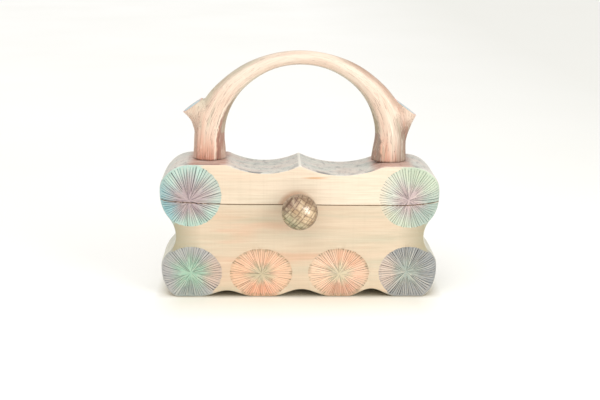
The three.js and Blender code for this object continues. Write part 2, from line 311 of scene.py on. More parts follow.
def addLamp(name, kind):
    lamp = newObject(name, bpy.data.lights.new(name, kind))
    lamp.location = studio[name]["from"]
    lamp.rotation_euler = (Vector(studio["aim"]) - lamp.location).to_track_quat("-Z", "Y").to_euler()
    return lamp.data


def paleFloor():  # painted warm bounce light and soft shadow in front of the bag, and a painted shadow under the arches
    look = Finish("paleFloor")
    x, y, _ = look.axes(look.spot)
    look.colour = look.ramped(look.noise(look.spot, 3.0), [(0.3, "f9f8f4"), (0.7, "fcfbf8")])
    look.coats([(x, *studio["floorShadeRight"], 0.8, "e9e8e2")])
    fromEdge = look.maths("SUBTRACT", y, baseLow.y)
    before = look.maths("LESS_THAN", y, baseHigh.y)
    across = look.ranged(look.maths("ABSOLUTE", x), *studio["floorAcross"])
    # painted bounce light and shadow before the bag, painted shadow under its arches
    look.coats([(fromEdge, *studio["floorBounceShade"], 0.9, "efeadd"),
                (fromEdge, *studio["floorArchShadow"], 0.85, "a8997f")], before, across)
    return look.done(0.8)


def setStudio():
    scene = bpy.context.scene
    scene.view_settings.view_transform = "Standard"
    scene.world = bpy.data.worlds.new("studio")
    scene.world.use_nodes = True
    sky = scene.world.node_tree.nodes["Background"]
    sky.inputs["Color"].default_value = studio["sky"]
    sky.inputs["Strength"].default_value = studio["skyStrength"]
    sun = addLamp("sun", "SUN")
    sun.energy = studio["sun"]["strength"]
    sun.angle = math.radians(studio["sun"]["softness"])
    for name in ("softbox", "window"):
        lamp = addLamp(name, "AREA")
        lamp.shape = "RECTANGLE"
        lamp.size, lamp.size_y = studio[name]["size"]
        lamp.energy = studio[name]["watts"]
        lamp.color = studio[name]["tint"]
    half = studio["floorSide"] / 2
    mesh = bpy.data.meshes.new("floor")
    corners = [(-half, -half, 0), (half, -half, 0), (half, half, 0), (-half, half, 0)]
    mesh.from_pydata(corners, [], [(0, 1, 2, 3)])
    mesh.materials.append(paleFloor())
    floor = newObject("floor", mesh)


setCamera()
setStudio()
print("camera, floor and light set")


# Painted wood

frontLook = {  # metres in the frame
    "lidFrom": (0.0815, 0.083),
    "lidLitRight": (-0.045, 0.02),
    "ends": (0.084, 0.106),
    "waist": 0.055,
    "waistShadeReach": (0.032, 0.012),
    "knot": ((70, 0, 700), (-0.85, 0, -73.9)),  # stretch and shift
    "paintedBallShadow": ((1, 0, 1), (0.003, 0, -0.0778)),  # painted shadow with warm bounce light, on the lid round the ball
    "paintedBallShadowReach": (0.0178, 0.0142),
}


def frontPaint():  # cream and peach paint rubbed along the grain, with the rosette washes over it
    look = Finish("frontPaint")
    spot = look.spot
    x, y, z = look.axes(spot)
    broad = look.noise(spot, (5, 5, 40), 2.0, 0.5, 0.5)
    patch = look.noise(spot, (10, 10, 75), 3.0, 0.55, 0.5, (2, 0, 5))
    streak = look.noise(spot, (12, 12, 210), 4.0, 0.6, 0.3, (3, 0, 7))
    grain = look.noise(spot, (35, 35, 900), 3.0, 0.6)
    upright = look.noise(spot, (430, 1, 16), shift=(1, 0, 2))
    speckle = look.noise(spot, (420, 420, 420), 3.0, 0.6)
    look.colour = look.ramped(broad, [(0.32, "dab79a"), (0.45, "d9c3a8"), (0.56, "d6c5ab"),
                                      (0.68, "c5bea4")])
    look.coats([(patch, 0.54, 0.7, 0.6, "bfbaa1"), (patch, 0.45, 0.3, 0.5, "dcb193"),
                (streak, 0.54, 0.7, 0.4, "c2b295"), (streak, 0.44, 0.3, 0.4, "e6d2b8")])
    lid = look.ranged(z, *frontLook["lidFrom"])
    look.coat(look.times(lid, 0.6), "eedac2")
    # the lid paler towards the right: painted light
    look.coats([(x, *frontLook["lidLitRight"], 0.35, "f3e6d2")], lid)
    # darker grey-green on the ends near the waist height: painted shade
    ends = look.ranged(look.maths("ABSOLUTE", x), *frontLook["ends"])
    offWaist = look.offFrom(z, frontLook["waist"])
    look.coats([(offWaist, *frontLook["waistShadeReach"], 1.0, "a09a80")], ends)
    onFront = look.maths("LESS_THAN", y, midY)
    knot = look.length(look.stretched(spot, *frontLook["knot"]))
    knot = look.maths("ADD", knot, look.times(streak, 0.6))
    look.coats([(knot, 1.25, 0.6, 0.75, "d79f6d")], onFront)
    # a painted shadow with warm bounce light round the ball, on the lid only
    paintedBallShadow = look.length(look.stretched(spot, *frontLook["paintedBallShadow"]))
    look.coats([(paintedBallShadow, *frontLook["paintedBallShadowReach"], 0.5, "b67a50")], onFront, lid)
    look.coats([(grain, 0.62, 0.35, 0.2, "b08f68"), (upright, 0.5, 0.68, 0.05, "a89878")])
    wash = look.attribute("wash")
    worn = look.ranged(speckle, 0.36, 0.6, 0.86, 1.0)
    look.coat(look.times(wash["Alpha"], worn), wash["Color"])
    offLine, dark, pale = look.axes(look.attribute("cut")["Vector"])
    core = look.ranged(offLine, 1.0, 0.4)
    look.coat(look.times(core, dark), "3e3a44", "MULTIPLY")
    look.coat(look.times(core, pale), "f1e8d6")
    return look.done((speckle, 0.42, 0.58), [(grain, 0.25, 0.0004), (speckle, 0.12, 0.0003)],
                     **{"Coat Weight": 0.08, "Coat Roughness": 0.35})


edgeLook = {  # metres
    "frontEdge": (0.0065, 0.0025),  # from the front
    "ridge": (0.0016, 0.0006),  # either side of the crest
    "ridgeFrom": (0.112, 0.114),
    "sides": (0.085, 0.05),  # greener below
}


def edgePaint():  # grey lavender on the top, sides and bottom, brushed along the outline
    look = Finish("edgePaint")
    x, y, z = look.axes(look.spot)
    along = look.put("ShaderNodeCombineXYZ", {"X": look.attribute("run")["Fac"], "Y": y}).outputs[0]
    brush = look.noise(along, (40, 330, 1), 4.0, 0.65, 0.4)
    lines = look.noise(along, (70, 900, 1), 3.0, 0.6, shift=(3, 1, 0))
    broad = look.noise(along, (32, 90, 1), 3.0, 0.5, 0.4, (5, 2, 0))
    blotch = look.noise(along, (230, 110, 1), 3.0, 0.6, shift=(2, 6, 0))
    dash = look.noise(along, (60, 120, 1), shift=(9, 4, 0))
    speckle = look.noise(look.spot, 700.0, 3.0, 0.65)
    look.colour = look.ramped(broad, [(0.3, "d6c7ba"), (0.45, "d5cec4"), (0.58, "cbcbc1"),
                                      (0.7, "bfc2b8")])
    look.coats([(brush, 0.46, 0.3, 0.5, "9c9894"), (brush, 0.54, 0.68, 0.45, "e6ddcf"),
                (lines, 0.45, 0.3, 0.5, "8c8888"), (lines, 0.58, 0.7, 0.45, "f2eadd"),
                (speckle, 0.45, 0.28, 0.45, "918c88"),
                (blotch, 0.46, 0.32, 0.6, "8f8a87"), (blotch, 0.56, 0.7, 0.45, "e9e0d3")])
    atEdge = look.ranged(y, *(baseLow.y + reach for reach in edgeLook["frontEdge"]))
    look.coats([(dash, 0.48, 0.58, 0.75, "716f6e")], atEdge)
    offCrest = look.offFrom(x, boxShape["crest"][0] * mm)
    look.coats([(offCrest, *edgeLook["ridge"], 0.75, "f0ece0")], look.ranged(z, *edgeLook["ridgeFrom"]))
    smudge = look.ranged(brush, 0.3, 0.65, 0.95, 0.45)
    look.coat(look.times(look.attribute("rose")["Fac"], smudge), "b87a64")
    look.coats([(z, *edgeLook["sides"], 0.7, "c8c5b2")])
    return look.done((brush, 0.42, 0.58), [(brush, 0.3, 0.0004), (speckle, 0.1, 0.0002)])


def bareWood(name, light, dark):  # sanded wood inside and on the meeting rims
    look = Finish(name)
    grain = look.noise(look.spot, (9, 160, 160), 4.0, 0.6, 0.6)
    pores = look.noise(look.spot, (60, 1500, 1500))
    look.colour = look.ramped(grain, [(0.32, dark), (0.5, light), (0.7, dark)])
    look.coats([(pores, 0.45, 0.3, 0.5, "a87c50")])
    return look.done((pores, 0.7, 0.5), [(pores, 0.2, 0.0003)])


# The scalloped box

boxShape = {
    "halfWidth": 120.0,
    "halfDepth": 26.0,
    "endRound": 16.0,  # how far the front rolls back at each end
    "edgeRound": 1.3,
    "edgeRings": [0.0, 0.12, 0.4, 0.8, 1.0],  # as shares of the rounding
    "sides": {  # distance from the middle, height and radius, or the radius of a fillet
        -1: {"low": (94.6, 22.0, 25.2), "high": (92.7, 89.7, 27.2), "trough": (30.5, 109.5, 8.0)},
        1: {"low": (94.6, 22.2, 25.2), "high": (92.7, 88.4, 27.2), "trough": (35.0, 108.0, 22.0)},
    },
    "waist": (105.8, 55.0),  # half width and height
    "crest": (-0.7, 116.2),
    "arches": [(-85.4, -39.6, 5.3), (-24.8, 27.6, 6.5), (40.4, 83.5, 7.0)],  # from, to, rise
    "step": 1.0,  # point spacing along the outline
    "wallSteps": 12,
    "wideSpares": 6.0,  # spacing of loose points on the flat front
    "closeSpares": (1.3, 2.6),  # across and up, on the rolled ends
    "split": 82.4,
    "jointGap": 0.4,
    # how far the saw cut climbs at each x
    "seamRise": [(-120, 2.2), (-106, 2.3), (-98, 1.7), (-90, 1.2), (-80, 0.7), (-70, 0.3), (-50, 0.0),
                 (0, 0.0), (20, -0.4), (60, -0.55), (92, -0.5), (102, 0.3), (110, 1.0), (120, 0.8)],
    "rimBevel": 0.35,
    # colour of the painted shade in the joint between base and lid
    "seam": "987049",
    "seamWidth": 1.4,
    "hollow": {"halfLength": 96.0, "halfDepth": 18.0, "corner": 12.0, "floor": 13.0, "ceiling": 101.5},
    "hollowRound": 3.0,
    "hollowLip": 0.6,
    "rose": {"at": 77.5, "reach": (12.5, 20.0), "from": (104.0, 113.0), "amount": 0.85},
}


def arcRun(x, z, radius, start, end):  # points on an arc
    count = max(2, round(abs(end - start) * radius / boxShape["step"]))
    angles = np.linspace(start, end, count + 1)
    return np.column_stack((x + radius * np.cos(angles), z + radius * np.sin(angles)))


def lineRun(start, end):
    start, end = np.array(start), np.array(end)
    count = max(1, round(np.linalg.norm(end - start) / boxShape["step"]))
    return start + (end - start) * np.linspace(0, 1, count + 1)[:, None]


def footEnd(side):  # where the low lobe meets the floor
    x, z, radius = boxShape["sides"][side]["low"]
    return side * (x + math.sqrt(radius**2 - z**2))


def bottomRuns():
    spot, runs = footEnd(-1), []
    for start, end, rise in boxShape["arches"]:
        arch = lineRun((start, 0.0), (end, 0.0))
        arch[:, 1] = rise * np.sin(pi * (arch[:, 0] - start) / (end - start)) ** 2
        runs += [lineRun((spot, 0.0), (start, 0.0)), arch]
        spot = end
    return [*runs, lineRun((spot, 0.0), (footEnd(1), 0.0))]


def waistArc(x, z, lobe):  # radius, and the angle from a lobe to the waist arc's centre
    half, height = boxShape["waist"]
    inward, rise = half - x, z - height
    radius = (rise**2 + inward**2 - lobe**2) / (2 * (lobe - inward))
    return radius, math.atan2(-rise, inward + radius)


def sideRuns(side):  # from the floor up to the crest, as it goes on the right
    low, high, (x, z, fillet) = (boxShape["sides"][side][key] for key in ("low", "high", "trough"))
    half, height = boxShape["waist"]
    radius, angle = waistArc(*low)
    runs = [arcRun(*low, math.asin(-low[1] / low[2]), angle),
            arcRun(half + radius, height, radius, angle + pi, pi)]
    radius, angle = waistArc(*high)
    runs += [arcRun(half + radius, height, radius, pi, angle + pi), arcRun(*high, angle, pi / 2)]
    top = high[1] + high[2]
    run, drop = side * boxShape["crest"][0] - x, boxShape["crest"][1] - z
    radius = (run**2 + drop**2) / (2 * drop)
    rise = z + radius - top + fillet  # from the fillet's centre to the trough's
    away = math.sqrt((radius + fillet) ** 2 - rise**2)
    touch = math.atan2(rise, -away)
    return [*runs, lineRun((high[0], top), (x + away, top)),
            arcRun(x + away, top - fillet, fillet, pi / 2, touch),
            arcRun(x, z + radius, radius, touch - pi, math.atan2(drop - radius, run))]


def boxOutline():  # along the bottom, up the right and down the left
    left = [run[::-1] * (-1, 1) for run in reversed(sideRuns(-1))]
    return np.vstack([run[:-1] for run in (*bottomRuns(), *sideRuns(1), *left)])


def frontY(x):  # the front plane, rolled back at both ends
    roll = boxShape["endRound"]
    past = np.maximum(0, np.abs(x) - (boxShape["halfWidth"] - roll))
    return -boxShape["halfDepth"] + roll - np.sqrt(np.maximum(0, roll**2 - past**2))


def standing(flat, y):  # spots across x and z, set at y
    return np.column_stack((flat[:, 0], y, flat[:, 1]))


def seamRise(x):  # the saw wandered a little
    return smoothTable(x, *zip(*boxShape["seamRise"]))


def stepIn(loop, distance):  # the loop moved inwards, square to its edges
    ahead = np.roll(loop, -1, axis=0) - loop
    ahead /= np.linalg.norm(ahead, axis=1)[:, None]
    normal = np.column_stack((-ahead[:, 1], ahead[:, 0]))
    both = normal + np.roll(normal, 1, axis=0)
    both /= np.linalg.norm(both, axis=1)[:, None]
    reach = distance / np.maximum(0.6, np.sum(both * normal, axis=1))
    return loop + both * reach[:, None]


outline = boxOutline()
lengths = np.linalg.norm(np.roll(outline, -1, axis=0) - outline, axis=1)
outlineRun = np.concatenate(([0], np.cumsum(lengths)[:-1])) * mm
hem = stepIn(outline, boxShape["edgeRound"])  # where the flat front begins
print(f"outline: {len(outline)} points, {lengths.sum():.0f} mm round")


# Carved rosettes on the front: fine knife cuts from an eye to the rim

rosetteCuts = {
    "rays": 132,
    "rings": 30,
    "depth": 0.5,
    "lineWidth": 0.42,  # half the ink in a cut
    "hemGap": 0.4,  # left between the cuts and the rounded edge
    "border": 0.15,  # plain strip round the cuts
    "overEdge": 3.4,  # a wash this close to the edge runs over it
    "profile": [0.0, 0.45, 1.0, 0.45],  # depth across a cut, from ridge to ridge
    "seed": 11,
}
noInk = (9.0, 0, 0)  # far from any line

rosettes = {  # mm; side tints are (degrees, spread, strength, hex), ink is (dark, pale, shortest, longest)
    "upperLeft": {
        "centre": (-92.9, 89.6), "radii": (26.4, 26.6), "eye": (-94.0, 85.4), "heartSize": 0.72,
        "rim": "b8d2c6", "middle": "b0bab7", "heart": "ad999c",
        "rimLine": ("7fa39b", 0.3), "ink": (1.0, 1.3, 0.75, 1.35),
        "tints": [(190, 1.1, 0.8, "86b8c0"), (-70, 0.9, 0.5, "a4c1ae"), (20, 0.9, 0.5, "c3bdb3")],
    },
    "upperRight": {
        "centre": (92.9, 88.4), "radii": (26.2, 26.4), "eye": (91.6, 86.2), "heartSize": 0.55,
        "rim": "c6cfb8", "middle": "c0c3b7", "heart": "bea9a8",
        "rimLine": ("8ca396", 0.25), "ink": (1.15, 1.3, 0.4, 0.85),
        "tints": [(-30, 1.2, 0.8, "94a8a0"), (165, 1.0, 0.6, "dcdfd2"), (60, 0.9, 0.5, "b1c4a9")],
        "fade": (180, 1.1, 0.75),
    },
    "lowerLeft": {
        "centre": (-93.0, 21.6), "radii": (26.4, 23.5), "eye": (-93.5, 21.8), "heartSize": 0.62,
        "rim": "b2b0ae", "middle": "a9b1aa", "heart": "9abfa6",
        "rimLine": ("7c8482", 0.35), "ink": (1.0, 1.1, 0.7, 1.3),
        "tints": [(0, 0.9, 0.8, "d0b39f"), (-90, 0.9, 0.6, "8a9e96"), (120, 0.8, 0.4, "a3a9a0")],
    },
    "middleLeft": {
        "centre": (-33.3, 21.6), "radii": (27.0, 21.8), "eye": (-32.8, 20.6), "heartSize": 0.5,
        "rim": "e0b999", "middle": "f2c2a2", "heart": "c3b594",
        "rimLine": ("7d7556", 0.75), "ink": (0.9, 1.1, 0.5, 1.1),
        "tints": [(-90, 1.0, 0.7, "e8a685"), (0, 0.8, 0.4, "f2cba8"), (180, 0.8, 0.5, "f0c39e")],
    },
    "middleRight": {
        "centre": (33.4, 21.9), "radii": (26.4, 21.8), "eye": (34.0, 20.9), "heartSize": 0.5,
        "rim": "debb9e", "middle": "f2c5a8", "heart": "d0c2a2",
        "rimLine": ("857c5e", 0.75), "ink": (0.9, 1.1, 0.5, 1.1),
        "tints": [(-80, 1.0, 0.7, "c89378"), (180, 0.9, 0.6, "f6d5b5"), (60, 0.9, 0.6, "e4b190")],
    },
    "lowerRight": {
        "centre": (93.2, 21.8), "radii": (25.4, 23.5), "eye": (91.8, 22.6), "heartSize": 0.5,
        "rim": "929493", "middle": "989a96", "heart": "99a59b",
        "rimLine": ("6c6e70", 0.35), "ink": (1.2, 1.6, 0.65, 1.25),
        "tints": [(180, 1.0, 0.8, "d9c1b0"), (-75, 0.9, 0.5, "9a9e9e"), (5, 0.9, 0.6, "888c8d")],
    },
}


def rimReach(rosette, angles):  # from the eye to the rim, kept inside the hem, and where the hem is close
    cx, cz = rosette["centre"]
    rx, rz = rosette["radii"]
    ex, ez = rosette["eye"]
    across, up = np.cos(angles), np.sin(angles)
    a = (across / rx) ** 2 + (up / rz) ** 2
    b = (ex - cx) * across / rx**2 + (ez - cz) * up / rz**2
    c = ((ex - cx) / rx) ** 2 + ((ez - cz) / rz) ** 2 - 1
    reach = (-b + np.sqrt(b * b - a * c)) / a
    start = hem - np.array([ex, ez])
    edge = np.roll(hem, -1, axis=0) - hem
    across, up = across[:, None], up[:, None]
    cross = across * edge[:, 1] - up * edge[:, 0]
    cross = np.where(np.abs(cross) < 1e-9, 1e-9, cross)
    hit = (start[:, 0] * edge[:, 1] - start[:, 1] * edge[:, 0]) / cross
    share = (start[:, 0] * up - start[:, 1] * across) / cross
    hit = np.where((share >= 0) & (share <= 1) & (hit > 0), hit, 1e9)
    room = hit.min(axis=1) - rosetteCuts["hemGap"]
    return np.minimum(reach, room), reach > room - 0.6


def drawCuts(rosette, draw):  # the chances of each cut
    count = rosetteCuts["rays"]
    order = np.arange(count)
    strong = order % 2 == 0  # every other cut is inked, so that two never run together

    def between(low, high):
        return draw.uniform(low, high, count)

    cuts = SimpleNamespace(turn=(order + between(-0.3, 0.3)) * (2 * pi / count))
    kind = draw.random(count)  # long, middling and short cuts
    cuts.begin = np.where(kind < 0.26, between(0.0, 0.06),
                          np.where(kind < 0.7, between(0.14, 0.34), between(0.36, 0.6)))
    cuts.finish = between(0.98, 1.16)
    cuts.ink = np.where(strong, between(0.5, 1.0), between(0.0, 0.3))
    cuts.pale = np.where(strong, 0.0, between(0.0, 0.6))
    cuts.strength = np.where(strong, between(0.7, 1.0), between(0.25, 0.6))
    cuts.phase = draw.uniform(0, 2 * pi, 2)
    cuts.tick = np.where(draw.random(count) < 0.5, between(0.3, 0.9), 0.0)
    cuts.inkEnd = between(*rosette["ink"][2:])
    cuts.tone = between(-0.06, 0.06)
    cuts.jag = between(0.0, 0.022)
    cuts.bold = np.where(strong, draw.choice([0.8, 1.0, 1.35], count, p=[0.4, 0.4, 0.2]), 0.65)
    return cuts


def inkLines(rosette, cuts, angles, levels, reach):  # widths from the nearest line, its dark and pale ink
    darkShare, paleShare = rosette["ink"][:2]
    turns = np.abs((angles[:, None] - cuts.turn + pi) % (2 * pi) - pi)
    rows = [[noInk]]
    for t in levels:
        there = smoothStep(cuts.begin - 0.02, cuts.begin + 0.06, t) * fade(cuts.finish - 0.1, cuts.finish, t)
        there = there * (1 - 0.5 * smoothStep(cuts.inkEnd - 0.25, cuts.inkEnd, t))
        gap = 2 * pi * t * reach / max(1.0, np.sum(there > 0.3))
        width = np.minimum(rosetteCuts["lineWidth"], 0.3 * gap)[:, None] * cuts.bold
        away = turns * (t * reach)[:, None] / width
        nearest = np.argmin(np.where(there > 0.05, away, 99), axis=1)
        rows.append(np.column_stack((away[np.arange(len(angles)), nearest],
                                     (darkShare * cuts.ink * there)[nearest],
                                     (paleShare * cuts.pale * there)[nearest])))
    return np.vstack([*rows, np.tile(noInk, (len(angles), 1))])


def rosetteWash(rosette, cuts, angles, levels, clipped):  # colour and cover at each point
    tone, tick = np.repeat(cuts.tone, 4), np.repeat(cuts.tick, 4)
    first, second = cuts.phase
    level = np.broadcast_to(levels[:, None], (len(levels), len(angles)))
    wobble = 0.06 * np.sin(angles * 5 + first) + 0.05 * np.sin(angles * 11 + second) + 0.5 * tone

    def facing(degrees, spread):
        return smoothStep(math.cos(spread), 1.0, np.cos(angles - math.radians(degrees)))

    colour = np.broadcast_to(hexColour(rosette["middle"]), level.shape + (3,))
    colour = washOver(colour, smoothStep(0.5, 0.95, level + wobble), rosette["rim"])
    for degrees, spread, amount, code in rosette["tints"]:
        colour = washOver(colour, amount * facing(degrees, spread) * smoothStep(0.2, 0.6, level), code)
    size = rosette["heartSize"]
    colour = washOver(colour, fade(0.3 * size, 1.3 * size, level + wobble), rosette["heart"])
    colour = colour * (1 + tone * smoothStep(0.1, 0.3, level))[..., None]
    rimCode, rimAmount = rosette["rimLine"]
    ragged = level + 0.8 * tone + 0.02 * np.sin(angles * 23 + second)
    colour = washOver(colour, rimAmount * (0.35 + 0.65 * tick) * smoothStep(0.9, 0.98, ragged), rimCode)
    degrees, spread, amount = rosette.get("fade", (0, 1.0, 0.0))  # rubbed off towards one side
    cover = 1 - amount * facing(degrees, spread) * smoothStep(0.6, 1.0, level)
    soft = np.convolve(np.pad(clipped.astype(float), 8, "wrap"), np.ones(17) / 17, "valid")
    inside = np.dstack((colour, cover)).reshape(-1, 4)
    return np.vstack(([paint(rosette["heart"])], inside, np.column_stack((colour[-1], soft))))


def carveRosette(rosette, draw):  # points, faces, wash colours, ink in the cuts and the loop round them
    cuts = drawCuts(rosette, draw)
    turn = cuts.turn
    ridges = (turn + np.roll(turn, 1)) / 2
    ridges[0] -= pi
    after = np.append(ridges[1:], ridges[0] + 2 * pi)
    angles = np.column_stack((ridges, (ridges + turn) / 2, turn, (turn + after) / 2)).ravel()
    begin, finish = np.repeat(cuts.begin, 4), np.repeat(cuts.finish, 4)
    strength, jag = np.repeat(cuts.strength, 4), np.repeat(cuts.jag, 4)
    reach, clipped = rimReach(rosette, angles)
    reach = np.where(clipped, reach, reach * (1 - jag))
    levels = np.linspace(0.03, 1.0, rosetteCuts["rings"])
    s = levels[:, None]
    cut = smoothStep(begin, begin + 0.1, s) * fade(finish - 0.1, finish, s)
    room = 0.42 * s * reach * 2 * pi / rosetteCuts["rays"]  # thin cuts stay shallow
    profile = np.tile(rosetteCuts["profile"], rosetteCuts["rays"])
    depth = profile * np.minimum(rosetteCuts["depth"] * strength * cut, room)
    sway = 0.05 * np.sin(7 * angles + cuts.phase[0]) + 0.02 * np.sin(17 * angles + cuts.phase[1])
    lean = angles + sway * (1 - s)  # not quite straight at the eye, and never crossing
    ex, ez = rosette["eye"]

    def onFront(distance, turn, sink=0.0):
        x = ex + distance * np.cos(turn)
        return np.stack((x, frontY(x) + sink, ez + distance * np.sin(turn)), axis=-1)

    rings = onFront(s * reach, lean, depth).reshape(-1, 3)
    border = onFront(reach + rosetteCuts["border"], angles)
    points = np.vstack(([[ex, frontY(ex), ez]], rings, border))
    return (points, fanFaces(len(angles), rosetteCuts["rings"] + 1),
            rosetteWash(rosette, cuts, angles, levels, clipped),
            inkLines(rosette, cuts, angles, levels, reach),
            range(len(points) - len(angles), len(points)))


# The closed block that base and lid are sawn from

def inLoop(spots, loop):  # which spots lie inside a closed loop
    x, z = spots[:, 0, None], spots[:, 1, None]
    x0, z0 = loop.T
    x1, z1 = np.roll(loop, -1, axis=0).T
    crosses = (z0 > z) != (z1 > z)
    slope = (x1 - x0) / np.where(z1 == z0, 1e-12, z1 - z0)
    return np.sum(crosses & (x < x0 + (z - z0) * slope), axis=1) % 2 == 1


def fillFlat(points, loops, spares):  # triangles inside the first flat loop and outside the others
    edges = [(a, b) for loop in loops for a, b in zip(loop, [*loop[1:], loop[0]])]
    flat = np.vstack((points, spares))
    _, _, faces, origins, _, _ = geometry.delaunay_2d_cdt([Vector(p) for p in flat], edges, [], 1, 1e-6)
    faces = np.array([[origins[i][0] for i in face] for face in faces])
    middles = flat[faces].mean(axis=1)
    kept = inLoop(middles, points[loops[0]])
    for loop in loops[1:]:
        kept &= ~inLoop(middles, points[loop])
    return [tuple(int(i) for i in face) for face in faces[kept]]


def sparePoints(taken):  # loose points that keep the triangles even, closer on the rolled ends
    flatEnd = boxShape["halfWidth"] - boxShape["endRound"] - 1
    wide = boxShape["wideSpares"]
    across, up = boxShape["closeSpares"]
    spares = [(x, z) for x in np.arange(-flatEnd, flatEnd, wide) for z in np.arange(2.0, 118.0, wide)]
    spares += [(side * x, z) for side in (-1, 1) for x in np.arange(flatEnd + 1, 120.0, across)
               for z in np.arange(1.0, 118.0, up)]
    spares = np.array(spares)
    gap = np.array([np.min(np.sum((taken - p) ** 2, axis=1)) for p in spares])
    return spares[gap > 0.9]


def buildBlock():
    draw = np.random.default_rng(rosetteCuts["seed"])
    parts, faces, mats = [], [], []  # a part is points with their wash, run and ink

    def add(points, wash=None, run=None, ink=None):  # returns the number of its first point
        count = len(points)
        start = sum(len(part[0]) for part in parts)
        parts.append((points, np.zeros((count, 4)) if wash is None else wash,
                      np.zeros(count) if run is None else run,
                      np.tile(noInk, (count, 1)) if ink is None else ink))
        return start

    def addFaces(found, material, flip=False):
        faces.extend(face[::-1] if flip else face for face in found)
        mats.extend([material] * len(found))

    count = len(outline)

    def band(first, second, material, flip=False):
        around = [(i, (i + 1) % count) for i in range(count)]
        addFaces([(first + i, first + j, second + j, second + i) for i, j in around], material, flip)

    edge = boxShape["edgeRound"]
    insets = np.array(boxShape["edgeRings"]) * edge
    rims, inner = {}, {}
    for side in (-1, 1):  # front, then back
        starts = []
        for inset in insets:
            ring = stepIn(outline, inset)
            y = frontY(ring[:, 0]) + edge - math.sqrt(edge**2 - (edge - inset) ** 2)
            starts.append(add(standing(ring, -side * y), run=outlineRun))
        for number, (first, second) in enumerate(zip(starts, starts[1:])):
            band(first, second, 1 if number < 2 else 0, side > 0)
        rims[side] = starts[0]
        inner[side] = list(range(starts[-1], starts[-1] + count))
    # the wall round the outside
    yFront = frontY(outline[:, 0]) + edge
    previous = rims[-1]
    for t in np.arange(1, boxShape["wallSteps"]) / boxShape["wallSteps"]:
        start = add(standing(outline, yFront * (1 - 2 * t)), run=outlineRun)
        band(start, previous, 1)
        previous = start
    band(rims[1], previous, 1)
    # rosettes, and the plain faces round them
    loops = [inner[-1]]
    for rosette in rosettes.values():
        carved, carvedFaces, wash, ink, loop = carveRosette(rosette, draw)
        start = add(carved, wash, ink=ink)
        addFaces([tuple(start + i for i in face) for face in carvedFaces], 0)
        loops.append([start + i for i in loop])
    for side, edgeLoops in ((-1, loops), (1, [inner[1]])):
        order = [i for loop in edgeLoops for i in loop]
        taken = np.vstack([part[0] for part in parts])[order][:, (0, 2)]
        spares = sparePoints(taken)
        start = add(standing(spares, -side * frontY(spares[:, 0])))
        ends = np.cumsum([len(loop) for loop in edgeLoops])
        local = [list(range(end - len(loop), end)) for end, loop in zip(ends, edgeLoops)]
        index = order + list(range(start, start + len(spares)))
        found = [tuple(index[i] for i in face) for face in fillFlat(taken, local, spares)]
        addFaces(found, 0, side > 0)
    points, wash, run, ink = (np.concatenate(rows) for rows in zip(*parts))
    loopEnds = np.array([i for loop in loops[1:] for i in loop])
    for i in range(rims[-1], rims[-1] + count * len(insets)):  # the front edge takes the wash beside it
        gap = np.hypot(*(points[loopEnds][:, (0, 2)] - points[i, (0, 2)]).T)
        if gap.min() < rosetteCuts["overEdge"]:
            wash[i] = wash[loopEnds[np.argmin(gap)]]
    points[:, 2] -= seamRise(points[:, 0])  # bent until the halves are sawn, so that the cut is level
    mesh = bpy.data.meshes.new("block")
    mesh.from_pydata(points.tolist(), [], faces)
    mesh.polygons.foreach_set("material_index", np.array(mats, np.int32))
    for name, rows in (("wash", wash), ("run", run), ("cut", ink)):
        addLayer(mesh, name, rows)
    return mesh


# Sawing the block in two and hollowing each half

def roundedLoop(halfLength, halfDepth, corner, z, steps=10):
    loop = []
    for quarter, (sx, sy) in enumerate(((1, 1), (-1, 1), (-1, -1), (1, -1))):
        for angle in np.linspace(0, pi / 2, steps + 1) + quarter * pi / 2:
            loop.append((sx * (halfLength - corner) + corner * math.cos(angle),
                         sy * (halfDepth - corner) + corner * math.sin(angle), z))
    return loop


def sawAndHollow(block, name, rimZ, up, endZ):  # up is 1 for the base and -1 for the lid
    hollow, lip = boxShape["hollow"], boxShape["hollowLip"]
    bevel, bend, roll = boxShape["rimBevel"], boxShape["hollowRound"], boxShape["endRound"]
    bm = bmesh.new()
    bm.from_mesh(block)
    saw(bm, bm.verts[:] + bm.edges[:] + bm.faces[:], (0, 0, rimZ - up * bevel), (0, 0, up))
    outer = boundaryLoop(bm)
    rim, strip = [], []
    wash = bm.verts.layers.float_color["wash"]
    for vert in outer:  # the rim, drawn in by its bevel, with the bevel and a strip of the rim darkened along the seam as painted shade in the joint
        x, y, _ = vert.co
        past = Vector((max(abs(x) - boxShape["halfWidth"] + roll, 0.0),
                       max(abs(y) - boxShape["halfDepth"] + roll, 0.0))).normalized()
        for ring, inset, jointShade in ((rim, bevel, 1.0), (strip, bevel + boxShape["seamWidth"], 0.0)):
            spot = (x - math.copysign(past.x * inset, x), y - math.copysign(past.y * inset, y), rimZ)
            ring.append(bm.verts.new(spot, vert))
            ring[-1][wash] = (*hexColour(boxShape["seam"]), jointShade)
    loft(bm, [outer, rim, strip])
    sections = [(-lip, rimZ), (0.0, rimZ - up * lip)]  # inset, height
    for t in np.linspace(0, pi / 2, 7):
        sections.append((bend * (1 - math.cos(t)), endZ + up * bend * (1 - math.sin(t))))
    loops = []
    for number, (inset, z) in enumerate(sections):
        sizes = (hollow[key] - inset for key in ("halfLength", "halfDepth", "corner"))
        ring = np.array(roundedLoop(*sizes, z))
        if number > 1:  # the floor and its edge stay level
            ring[:, 2] -= seamRise(ring[:, 0])
        loops.append([bm.verts.new(p) for p in ring])
    loft(bm, loops, 2)
    bm.faces.new(loops[-1]).material_index = 2
    verts = strip + loops[0]
    spans = [list(range(len(strip))), list(range(len(strip), len(verts)))]
    for face in fillFlat(np.array([v.co.xy for v in verts]), spans, np.zeros((0, 2))):
        bm.faces.new([verts[i] for i in face]).material_index = 2
    for vert, rise in zip(bm.verts, seamRise(np.array([v.co.x for v in bm.verts]))):
        vert.co.z += rise
    return meshFrom(bm, name)


